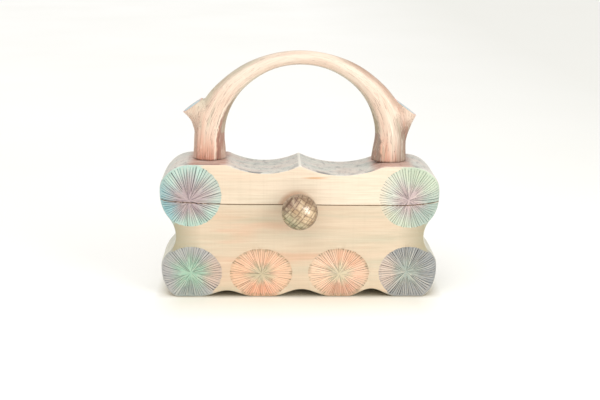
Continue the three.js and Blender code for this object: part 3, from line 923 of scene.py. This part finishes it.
def legRose(points):  # pink rubbed into the top round the handle's feet
    rose = boxShape["rose"]
    near = rose["amount"] * fade(*rose["reach"], np.abs(np.abs(points[:, 0]) - rose["at"]))
    return near * smoothStep(*rose["from"], points[:, 2])


boxFinishes = [frontPaint(), edgePaint(), bareWood("innerWood", "ecd3ab", "dcbb8c")]
block = buildBlock()
halfGap = boxShape["jointGap"] / 2
for pieceName, rimZ, up, endZ, body in (
    ("carved_base", boxShape["split"] - halfGap, 1, boxShape["hollow"]["floor"], "box"),
    ("carved_lid", boxShape["split"] + halfGap, -1, boxShape["hollow"]["ceiling"], "cover"),
):
    mesh = sawAndHollow(block, pieceName, rimZ, up, endZ)
    addLayer(mesh, "rose", legRose(pointsOf(mesh)))
    settle(pieceName, mesh, boxFinishes, 32, body, [pieceName.split("_")[1]])
bpy.data.meshes.remove(block)


# The handle: one bent limb with a sawn-off side branch on each shoulder

handleShape = {
    "hubZ": 128.0,
    "angles": [0, 25, 45, 65, 90],  # from the crown, with the sizes below at each
    "inner": [69.3, 69.1, 68.5, 66.9, 63.7],
    "outer": [81.6, 83.0, 86.2, 91.0, 91.0],
    "depth": [16.0, 17.0, 19.5, 23.0, 25.5],
    "foot": (63.4, 91.5, 26.6),  # inner, outer, depth
    "branch": {  # distance from the middle, height, lean, width, depth
        -1: [(77.5, 125.0, 0.0, 25.0, 24.0), (77.7, 134.0, 3.0, 24.8, 23.6), (78.4, 143.5, 10.0, 24.6, 23.0),
             (82.0, 153.5, 24.0, 23.8, 21.8), (86.6, 158.8, 31.0, 22.4, 20.6)],
        1: [(77.5, 125.0, 0.0, 25.0, 24.0), (78.6, 134.0, 8.0, 24.5, 23.6), (81.0, 143.0, 18.0, 24.0, 23.0),
            (85.0, 152.5, 28.0, 23.6, 21.8)],
    },
    "cuts": {-1: (91.4, 162.4, 35.0, 21.2, 19.5), 1: (89.5, 161.4, 36.0, 24.0, 20.5)},
    "pastCut": 2.2,  # sawn off later
    "seat": {-1: 116.95, 1: 115.65},
    "footBevel": 0.7,
    "footRings": [(0.2, 0.45), (0.7, 0.7)],  # inset, drop
    "voxel": 0.85,
    "smoothing": 7,
    "facets": [-155, -117, -78, -38, 2, 42, 82, 122, 162],  # knife flats round a leg, degrees from outside
    "facetReach": 18.5,  # half the spread of a flat, degrees
    "facetDepth": 1.15,
    "lumps": 0.25,
    "innerFlat": {  # height, ridge as a share across
        -1: [(0, 0.29), (15, 0.27), (32, 0.21), (44, 0.16), (54, 0.08), (64, 0.0)],
        1: [(0, 0.2), (15, 0.17), (32, 0.11), (44, 0.06), (54, 0.0)],
    },
    "flare": 2.4,  # the right foot spreads inwards
    "runRadius": 75,  # for lengths along the arch
    "legRun": 129,  # and down the legs
    "seed": 23,
}


def ovalRing(centre, across, width, depth, sides=48):
    turns = ringTurns(sides)
    ring = np.array(centre) + np.outer(width / 2 * np.cos(turns), across)
    ring[:, 1] += depth / 2 * np.sin(turns)
    return ring


def limbSizes(degrees):  # inner and outer radius and depth, at an angle from the crown
    angles = handleShape["angles"]
    return [smoothTable(degrees, angles, handleShape[key]) for key in ("inner", "outer", "depth")]


def limbRings():
    inner, outer, depth = handleShape["foot"]
    feet = {}
    for side, low in handleShape["seat"].items():
        feet[side] = [ovalRing((side * (inner + outer) / 2, 0, z), (side, 0, 0), outer - inner, depth)
                      for z in (low - 3, low, low + 3)]
    arch = []
    for degrees in np.arange(90, -91, -3):
        turn = math.radians(degrees)
        inner, outer, depth = limbSizes(abs(degrees))
        ahead = np.array((math.sin(turn), 0, math.cos(turn)))
        centre = np.array((0, 0, handleShape["hubZ"])) + ahead * (inner + outer) / 2
        arch.append(ovalRing(centre, ahead, outer - inner, depth))
    return feet[1] + arch + feet[-1][::-1]


def branchRings(side):
    x, z, lean, width, depth = handleShape["cuts"][side]
    past, turn = handleShape["pastCut"], math.radians(lean)
    beyond = (x + past * math.sin(turn), z + past * math.cos(turn), lean, width, depth)
    rings = []
    for x, z, lean, width, depth in [*handleShape["branch"][side], handleShape["cuts"][side], beyond]:
        turn = math.radians(lean)
        rings.append(ovalRing((side * x, 0, z), (math.cos(turn), 0, -side * math.sin(turn)), width, depth))
    return rings


def remeshed(rough):  # one skin over limb and branches
    modifier = rough.modifiers.new("skin", "REMESH")
    modifier.mode = "VOXEL"
    modifier.voxel_size = handleShape["voxel"]
    graph = bpy.context.evaluated_depsgraph_get()
    mesh = bpy.data.meshes.new_from_object(rough.evaluated_get(graph))
    bpy.data.objects.remove(rough)
    return mesh


def smoothSkin(bm, factor):
    bmesh.ops.smooth_vert(bm, verts=bm.verts[:], factor=factor,
                          use_axis_x=True, use_axis_y=True, use_axis_z=True)


def sawFeet(bm):  # each leg is cut level with the lid under it
    for side, seat in handleShape["seat"].items():
        verts = [v for v in bm.verts if v.co.x * side > 0]
        whole = {part for v in verts for part in (*v.link_edges, *v.link_faces)
                 if all(w.co.x * side > 0 for w in part.verts)}
        saw(bm, [*verts, *whole], (0, 0, seat + handleShape["footBevel"]), (0, 0, -1))
        rows = [boundaryLoop(bm)]
        middle = sum((v.co for v in rows[0]), Vector()) / len(rows[0])
        for inset, drop in handleShape["footRings"]:
            down = Vector((0, 0, drop))
            rows.append([bm.verts.new(v.co + (middle - v.co).normalized() * inset - down) for v in rows[0]])
        loft(bm, rows)
        bm.faces.new(rows[-1])


def sawEnd(bm, side):  # a flat cut across a branch, stopping where the limb begins
    x, z, lean, width, _ = handleShape["cuts"][side]
    turn = math.radians(lean)
    middle, out = Vector((side * x, 0, z)), Vector((side * math.sin(turn), 0, math.cos(turn)))
    across = Vector((side * math.cos(turn), 0, -math.sin(turn)))
    stop = -width / 2 - 0.9

    def near(face, past, short):
        off = face.calc_center_median() - middle
        return off.length < width / 2 + 9 and off.dot(out) > past and off.dot(across) > short

    for spot, normal, past in ((middle, out, -3.0), (middle + across * stop, across, 0.0)):
        faces = [f for f in bm.faces if near(f, past, stop - 3)]
        rims = {part for f in faces for part in (*f.edges, *f.verts)}
        saw(bm, [*faces, *rims], spot, normal, False)
    bmesh.ops.delete(bm, geom=[f for f in bm.faces if near(f, 0.0, stop)], context="FACES")
    bm.faces.new(boundaryLoop(bm)).material_index = 1 if side < 0 else 2


def limbPlace(points):  # where each point is on the limb
    x, _, z = points.T
    rise = np.maximum(0, z - handleShape["hubZ"])
    angle = np.degrees(np.arctan2(x, np.maximum(rise, 1e-6)))
    away = np.where(rise > 0, np.hypot(x, rise), np.abs(x))
    steep = np.abs(angle)
    inner, outer, depth = limbSizes(np.minimum(steep, 90))
    height = z - np.where(x < 0, handleShape["seat"][-1], handleShape["seat"][1])
    along = np.where(steep < 89.9, handleShape["runRadius"] * np.radians(angle),
                     np.sign(x) * (handleShape["legRun"] - height))
    across = (away - inner) / (outer - inner)  # 0 inside the arch, 1 outside it
    left, right = (np.interp(height, *zip(*handleShape["innerFlat"][side])) for side in (-1, 1))
    ridge = np.where(x < 0, left, right)  # where the flat down the inside of a leg begins
    return SimpleNamespace(away=away, steep=steep, depth=depth, height=height, along=along, across=across,
                           ridge=ridge)


def whittle(points, normals):  # long flat knife strokes
    draw = np.random.default_rng(handleShape["seed"])
    at = limbPlace(points)
    along, ridge = at.along, at.ridge
    turn = np.arctan2(points[:, 1] / (at.depth / 2), (at.across - 0.5) * 2)
    phases = draw.uniform(0, 2 * pi, (len(handleShape["facets"]), 3))
    flat = np.zeros(len(points))
    for degrees, (first, second, third) in zip(handleShape["facets"], phases):
        drift = 0.07 * np.sin(along / 21 + first) + 0.04 * np.sin(along / 8.5 + second)
        reach = math.radians(handleShape["facetReach"]) * (1 + 0.16 * np.sin(along / 15 + third))
        flat = np.maximum(flat, np.cos(turn - math.radians(degrees) - drift) - np.cos(reach))
    lumps = np.sin(along / 17 + phases[0, 0]) * np.sin(turn + along / 31 + phases[1, 0])
    lumps += 0.5 * np.sin(along / 7.3 + 2 * turn + phases[2, 0])
    legs = 0.55 + 0.45 * smoothStep(45, 72, at.steep)
    move = legs * (handleShape["lumps"] * lumps - handleShape["facetDepth"] * at.depth / 2 * flat)
    inside = np.clip((ridge - at.across) / np.maximum(ridge, 0.02), 0, 1)
    inside *= (points[:, 1] < 0) * (ridge > 0.02)
    move -= 0.9 * np.sin(pi * inside) * (ridge / 0.25)
    moved = points + normals * move[:, None]
    flare = handleShape["flare"] * fade(0, 30, at.height) * np.clip(1.1 - at.across, 0, 1.1)
    moved[:, 0] -= np.where(points[:, 0] > 0, flare, 0)
    return moved


def limbColours(points):  # cream crown, peach legs that redden towards their feet, with painted shade and a painted highlight on the legs and arch
    at = limbPlace(points)
    across, height, steep, ridge = at.across, at.height, at.steep, at.ridge
    left = points[:, 0] < 0
    onLeg = steep > 40
    edge = smoothStep(0.7, 0.96, across) * smoothStep(16, 34, steep) * fade(62, 76, steep)
    wavy = ridge + 0.02 * np.sin(height / 2.3) + 0.015 * np.sin(height / 0.9 + 1)
    innerFlankShade = fade(wavy - 0.03, wavy + 0.01, across) * (ridge > 0.01) * onLeg
    pale = np.exp(-((across - ridge - 0.03) / 0.03) ** 2) * (ridge > 0.03) * onLeg
    outer = smoothStep(np.where(left, 0.86, 0.42), np.where(left, 0.88, 0.8), across) * fade(24, 46, height)
    colour = np.broadcast_to(hexColour("ead7c3"), (len(points), 3))
    for amount, code in (
        (smoothStep(36, 64, steep), "e5c9b3"),
        (0.8 * fade(8, 30, height), "d9a389"),
        (np.where(left, 0.63, 0.28) * fade(1, 13, height), "b8705a"),
        (0.75 * edge * left, "b0ac94"),
        (0.85 * edge * ~left, "a98872"),
        # dark inner flats down the legs: a darker stain, deepened as painted shade
        (0.85 * innerFlankShade * left, "8c5848"),
        (0.8 * innerFlankShade * ~left, "7c6a5c"),
        # pale line along the ridge beside the inner flat: worn paint and a painted highlight
        (0.7 * pale * left, "f6e6d2"),
        # darker towards the outer silhouette low on the legs: painted shade
        (np.where(left, 0.5, 0.9) * outer, "755540"),
        # grey-green along the underside of the arch: edge paint and painted shade
        (0.7 * fade(0.04, 0.2, across) * (steep < 80), "a8a084"),
        # dark line at the foot of each leg: painted contact shadow
        (0.8 * fade(0.6, 1.8, height), "5e382c"),
    ):
        colour = washOver(colour, amount, code)
    return np.column_stack((colour, np.ones(len(points))))


def limbPaint():
    look = Finish("limbPaint")
    look.colour = look.attribute("wash")["Color"]
    fibre = look.attribute("fibre")["Vector"]
    streak = look.noise(fibre, (24, 330, 330), 4.0, 0.6, 0.3)
    broad = look.noise(fibre, (14, 80, 80), 3.0, 0.5, 0.3, (4, 1, 2))
    hair = look.noise(fibre, (55, 1200, 1200), 2.0, 0.6)
    crack = look.noise(fibre, (16, 420, 420), 3.0, 0.55, 0.2, (7, 3, 1))
    leg = look.ranged(look.axes(look.spot)[2], 0.19, 0.14, 0.45, 1.0)  # bolder strokes on the legs
    look.coats([(broad, 0.53, 0.7, 0.5, "eddfcb"), (broad, 0.46, 0.3, 0.5, "cf967c"),
                (streak, 0.56, 0.7, 0.6, "bab59d"), (streak, 0.44, 0.3, 0.6, "c3836b"),
                (hair, 0.44, 0.3, 0.5, "84614e"), (hair, 0.6, 0.72, 0.5, "fbeedb"),
                (look.offFrom(crack, 0.5), 0.016, 0.004, 0.7, "74564a")], leg)
    return look.done((streak, 0.34, 0.5), [(streak, 0.35, 0.0006), (hair, 0.25, 0.0003)],
                     **{"Coat Weight": 0.15, "Coat Roughness": 0.3})


def cutEndPaint(side):  # pale blue on a sawn end, pink at the bark edge
    look = Finish("cutEndPaint")
    x, z, lean, width, depth = handleShape["cuts"][side]
    inputs = {"Vector": look.spot, "Location": toFrame @ Vector((side * x, 0, z)),
              "Rotation": (0, side * math.radians(lean), 0), "Scale": (width / 2 * mm, depth / 2 * mm, 1)}
    share = look.length(look.put("ShaderNodeMapping", inputs, vector_type="TEXTURE").outputs[0])
    smear = look.noise(look.spot, 160.0, 4.0, 0.6, 0.5)
    rings = look.noise(look.put("ShaderNodeCombineXYZ", {"X": share}).outputs[0], 26.0, 3.0)
    grainy = look.noise(look.spot, 1500.0)
    rim = look.maths("ADD", share, look.times(smear, 0.25))
    look.colour = look.ramped(smear, [(0.3, "93b2ba"), (0.5, "b4c8cb"), (0.68, "d8dfdb")])
    look.coats([(rings, 0.45, 0.3, 0.35, "8fa9a8"), (rim, 0.88, 1.04, 0.9, "dfa28c"),
                (grainy, 0.45, 0.3, 0.25, "8d9a94")])
    return look.done((smear, 0.5, 0.65), [(grainy, 0.25, 0.0003)])


def buildHandle():
    bm = bmesh.new()
    for rings in (limbRings(), branchRings(-1), branchRings(1)):
        addLoft(bm, rings)
    skin = remeshed(newObject("limb", meshFrom(bm, "limb")))
    bm = bmesh.new()
    bm.from_mesh(skin)
    for _ in range(handleShape["smoothing"]):
        smoothSkin(bm, 0.5)
    bm.normal_update()
    points, normals = (np.array(rows) for rows in zip(*((v.co, v.normal) for v in bm.verts)))
    for vert, spot in zip(bm.verts, whittle(points, normals)):
        vert.co = spot
    smoothSkin(bm, 0.4)
    sawFeet(bm)
    for side in (-1, 1):
        sawEnd(bm, side)
    mesh = meshFrom(bm, "limb_handle")
    points = pointsOf(mesh)
    at = limbPlace(points)
    addLayer(mesh, "wash", limbColours(points))
    addLayer(mesh, "fibre", np.column_stack((at.along, at.away, points[:, 1])) * mm)
    finishes = [limbPaint(), cutEndPaint(-1), cutEndPaint(1)]
    settle("limb_handle", mesh, finishes, 50, "cover", ["handle"])


buildHandle()


# The clasp: a lacquered ball with cross-cut plaid, on a hidden post

ballShape = {
    "radius": 15.2,
    "centre": (-1.0, -39.4, 79.6),
    "flatBack": 12.6,  # from the centre to the flat behind
    "rings": 110,
    "columns": 220,
    "lines": [  # angle in degrees, spacing and depth in mm, and the stripes between
        (52.0, 3.4, 0.11, [(0.0, "dbc09b"), (0.25, "8e6c52"), (0.45, "cbb38f"), (0.65, "7d5d49"),
                           (0.85, "b79874")]),
        (-32.0, 4.1, 0.06, [(0.0, "dfc7a3"), (0.3, "a28062"), (0.55, "c2a47e"), (0.8, "7a5c49"),
                            (1.0, "d1b48f")]),
    ],
    "lineWidth": 0.4,  # half of it
    "uneven": 0.22,  # sway of the lines, as a share of their spacing
    "swayRate": 2.3,
}


def buildBall():
    shape, columns = ballShape, ballShape["columns"]
    tilt = np.linspace(0, math.acos(-shape["flatBack"] / shape["radius"]), shape["rings"])[1:]
    tiltGrid, turnGrid = np.meshgrid(tilt, ringTurns(columns), indexing="ij")
    out = np.sin(tiltGrid)
    rays = np.stack((out * np.cos(turnGrid), -np.cos(tiltGrid), out * np.sin(turnGrid)), 2)
    rays = np.vstack(([[0.0, -1.0, 0.0]], rays.reshape(-1, 3)))
    points = rays * shape["radius"]
    sink = np.zeros(len(points))
    for degrees, spacing, depth, _ in shape["lines"]:
        turn = math.radians(degrees)
        off = (points[:, 2] * math.cos(turn) - points[:, 0] * math.sin(turn)) / spacing
        off = off + shape["uneven"] * np.sin(shape["swayRate"] * off)
        off = np.abs(off - np.round(off)) * spacing
        sink = np.maximum(sink, depth * np.clip(1 - off / shape["lineWidth"], 0, 1))
    points = points - rays * sink[:, None] + np.array(shape["centre"])
    back = tuple(range(len(points) - columns, len(points)))
    rough = bpy.data.meshes.new("ball")
    rough.from_pydata(points.tolist(), [], [*fanFaces(columns, len(tilt)), back[::-1]])
    bm = bmesh.new()
    bm.from_mesh(rough)
    mesh = meshFrom(bm, "clasp_bead")
    return settle("clasp_bead", mesh, [ballLacquer()], 40, "cover", ["clasp_ball"])


def ballLacquer():  # tan, brown, olive and mauve stripes crossing under gloss, with painted shade low down and round the rim
    look = Finish("ballLacquer")
    centre = toFrame @ Vector(ballShape["centre"])
    spot = look.stretched(look.spot, (1, 1, 1), tuple(-c for c in centre))
    x, _, z = look.axes(spot)
    stripes, grooves = [], []
    for degrees, spacing, _, stops in ballShape["lines"]:
        turn = math.radians(degrees)
        square = (-math.sin(turn), 0, math.cos(turn))
        over = look.put("ShaderNodeVectorMath", {0: spot, 1: square}, operation="DOT_PRODUCT")
        line = look.maths("DIVIDE", over.outputs["Value"], spacing * mm)
        wave = look.maths("SINE", look.times(line, ballShape["swayRate"]))
        line = look.maths("ADD", line, look.times(wave, ballShape["uneven"]))
        pick = look.put("ShaderNodeTexWhiteNoise", {"W": look.maths("FLOOR", line)}, noise_dimensions="1D")
        stripes.append(look.ramped(pick.outputs["Value"], stops))
        within = look.maths("FRACT", line)
        near = look.maths("MINIMUM", within, look.maths("SUBTRACT", 1.0, within))
        grooves.append(look.ranged(near, 0.03, 0.19, 1.0, 0.0))
    smear = look.noise(spot, 260.0, 4.0, 0.6)
    look.colour = stripes[0]
    look.coat(0.42, stripes[1])
    look.coats([(look.maths("ADD", x, z), 0.0, -0.014, 0.7, "8b9977"),  # low on the left
                # darker towards the bottom: painted shade
                (z, -0.004, -0.014, 0.75, "5f6450"),
                (look.maths("SUBTRACT", z, x), 0.008, 0.017, 0.7, "8a6f64"),  # high on the left
                (smear, 0.45, 0.65, 0.5, "e6d2ae")])
    dark = look.maths("MAXIMUM", grooves[0], look.times(grooves[1], 0.7))
    look.coat(look.times(dark, look.ranged(smear, 0.3, 0.6, 0.95, 0.5)), "553d2e")
    radius = ballShape["radius"] * mm
    # darker round the rim, more so low on the right: painted shade and painted dark reflection
    rim = look.length(look.stretched(spot, (1, 0, 1)))
    lowRightShade = look.ranged(look.maths("SUBTRACT", x, z), -0.012, 0.012, 0.35, 1.0)
    look.coats([(rim, 0.74 * radius, 0.98 * radius, 0.85, "5c4837")], lowRightShade)
    gloss = {"Specular IOR Level": 0.15, "Coat Weight": 0.75, "Coat Roughness": 0.1, "Coat IOR": 1.3}
    return look.done((smear, 0.2, 0.32), [(smear, 0.05, 0.0003)], **gloss)


def glintOnly(ball):  # the window lamp lights the ball alone, and only as a glint
    window = bpy.data.objects["window"]
    window.visible_diffuse = False
    lit = bpy.data.collections.new("glint")
    lit.objects.link(ball)
    window.light_linking.receiver_collection = lit


glintOnly(buildBall())


def dress(node, material):  # a carried-over solid with a better finish
    mesh = frame["nodes"][node].data
    mesh.materials.clear()
    mesh.materials.append(material)


dress("clasp_post", bareWood("postWood", "e0c298", "c9a374"))
print("post dressed")


# Brass hinges on the back: screwed leaves that meet in a barrel of three knuckles

hingeShape = {
    "offset": 66.0,  # from the middle of the bag
    "length": 26.0,
    "leafHeight": 12.0,
    "leafThickness": 1.3,
    "woodGap": 0.3,
    "knuckle": 2.4,  # radius
    "pin": 1.1,  # radius
    "pinPast": 0.5,  # beyond the knuckles
    "gap": 0.3,
    "corner": 2.2,
    "bevel": 0.3,
    "chamfer": 0.3,
    "tabStep": 0.05,  # tabs lie this much below the leaf
    "screws": [(-8.6, 7.4, 20), (8.6, 7.4, 65), (0.0, 10.6, -35)],  # along, up from the pin, slot in degrees
    "screwRadius": 2.1,
    "screwFoot": (0.2, 0.12, 0.08),  # sunk, proud, bevel
    "screwHead": (0.15, 0.45, 0.14),  # inset, proud, bevel
    "slot": 0.3,  # half its width
}


def addSlab(bm, loop, low, high, bevel):  # a loop across x and z made thick along y, its outer edge rounded
    levels = ((0.0, low), (0.0, high - bevel), (bevel * 0.3, high - bevel * 0.3), (bevel, high))
    addLoft(bm, [[(x, y, z) for x, z in stepIn(loop, inset)] for inset, y in levels])


def addBarrel(bm, start, end, radius, y, z, sides=36):
    cut = hingeShape["chamfer"]
    ends = ((start, radius - cut), (start + cut, radius), (end - cut, radius), (end, radius - cut))
    addLoft(bm, [[(x, y + size * math.cos(t), z + size * math.sin(t)) for t in ringTurns(sides)]
                 for x, size in ends])


def addScrew(bm, x, z, face, degrees):  # a round foot, and a head in two halves with the slot between them
    radius = hingeShape["screwRadius"]

    def disc(turns, size, low, high, bevel):
        addSlab(bm, np.column_stack((x + size * np.cos(turns), z + size * np.sin(turns))), low, high, bevel)

    sunk, proud, bevel = hingeShape["screwFoot"]
    disc(ringTurns(32), radius, face - sunk, face + proud, bevel)
    inset, proud, bevel = hingeShape["screwHead"]
    start = math.asin(hingeShape["slot"] / radius)
    for half in (0, pi):
        arc = np.linspace(start, pi - start, 18) + half + math.radians(degrees)
        disc(arc, radius - inset, face, face + proud, bevel)


def buildLeaf(side, sign, brass):  # sign is -1 on the base and 1 on the lid
    shape = hingeShape
    middle, half, gap = side * shape["offset"], shape["length"] / 2, shape["gap"]
    near = boxShape["halfDepth"] + shape["woodGap"]
    far = near + shape["leafThickness"]
    pinY, pinZ = near + shape["knuckle"], boxShape["split"]
    start = shape["knuckle"] + gap
    bm = bmesh.new()
    ring = roundedLoop(half, shape["leafHeight"] / 2, shape["corner"], 0.0, 8)
    plate = np.array(ring)[:, :2] + (middle, pinZ + sign * (start + shape["leafHeight"] / 2))
    addSlab(bm, plate, near, far, shape["bevel"])
    third = shape["length"] / 6
    if sign < 0:
        spans = [(-half, -third - gap / 2), (third + gap / 2, half)]
        pinEnd = half + shape["pinPast"]
        addBarrel(bm, middle - pinEnd, middle + pinEnd, shape["pin"], pinY, pinZ)
    else:
        spans = [(-third + gap / 2, third - gap / 2)]
    for first, last in spans:
        addBarrel(bm, middle + first, middle + last, shape["knuckle"], pinY, pinZ)
        low, high = sorted((pinZ, pinZ + sign * (start + shape["corner"])))
        tab = np.array([(first, low), (last, low), (last, high), (first, high)]) + (middle, 0)
        addSlab(bm, tab, near, far - shape["tabStep"], shape["bevel"])
    for x, up, degrees in shape["screws"]:
        addScrew(bm, middle + x, pinZ + sign * up, far, degrees * sign)
    part, body = ("base", "box") if sign < 0 else ("lid", "cover")
    end = "left" if side < 0 else "right"
    name = f"hinge_{part}_{end}"
    settle(name, meshFrom(bm, name), [brass], 35, body, [f"hinge_leaf_{part}_{end}"])


def brassFinish():  # rolled brass, a little dulled
    look = Finish("hingeBrass")
    scratch = look.noise(look.spot, (60, 900, 900), 3.0, 0.6)
    dull = look.noise(look.spot, 70.0, 3.0, 0.55)
    look.colour = look.ramped(dull, [(0.35, "b8955a"), (0.6, "c9a96a")])
    look.coats([(scratch, 0.42, 0.3, 0.25, "8f703f")])
    return look.done((scratch, 0.28, 0.42), [(scratch, 0.08, 0.0002)], Metallic=1.0)


brass = brassFinish()
for side in (-1, 1):
    for sign in (-1, 1):
        buildLeaf(side, sign, brass)
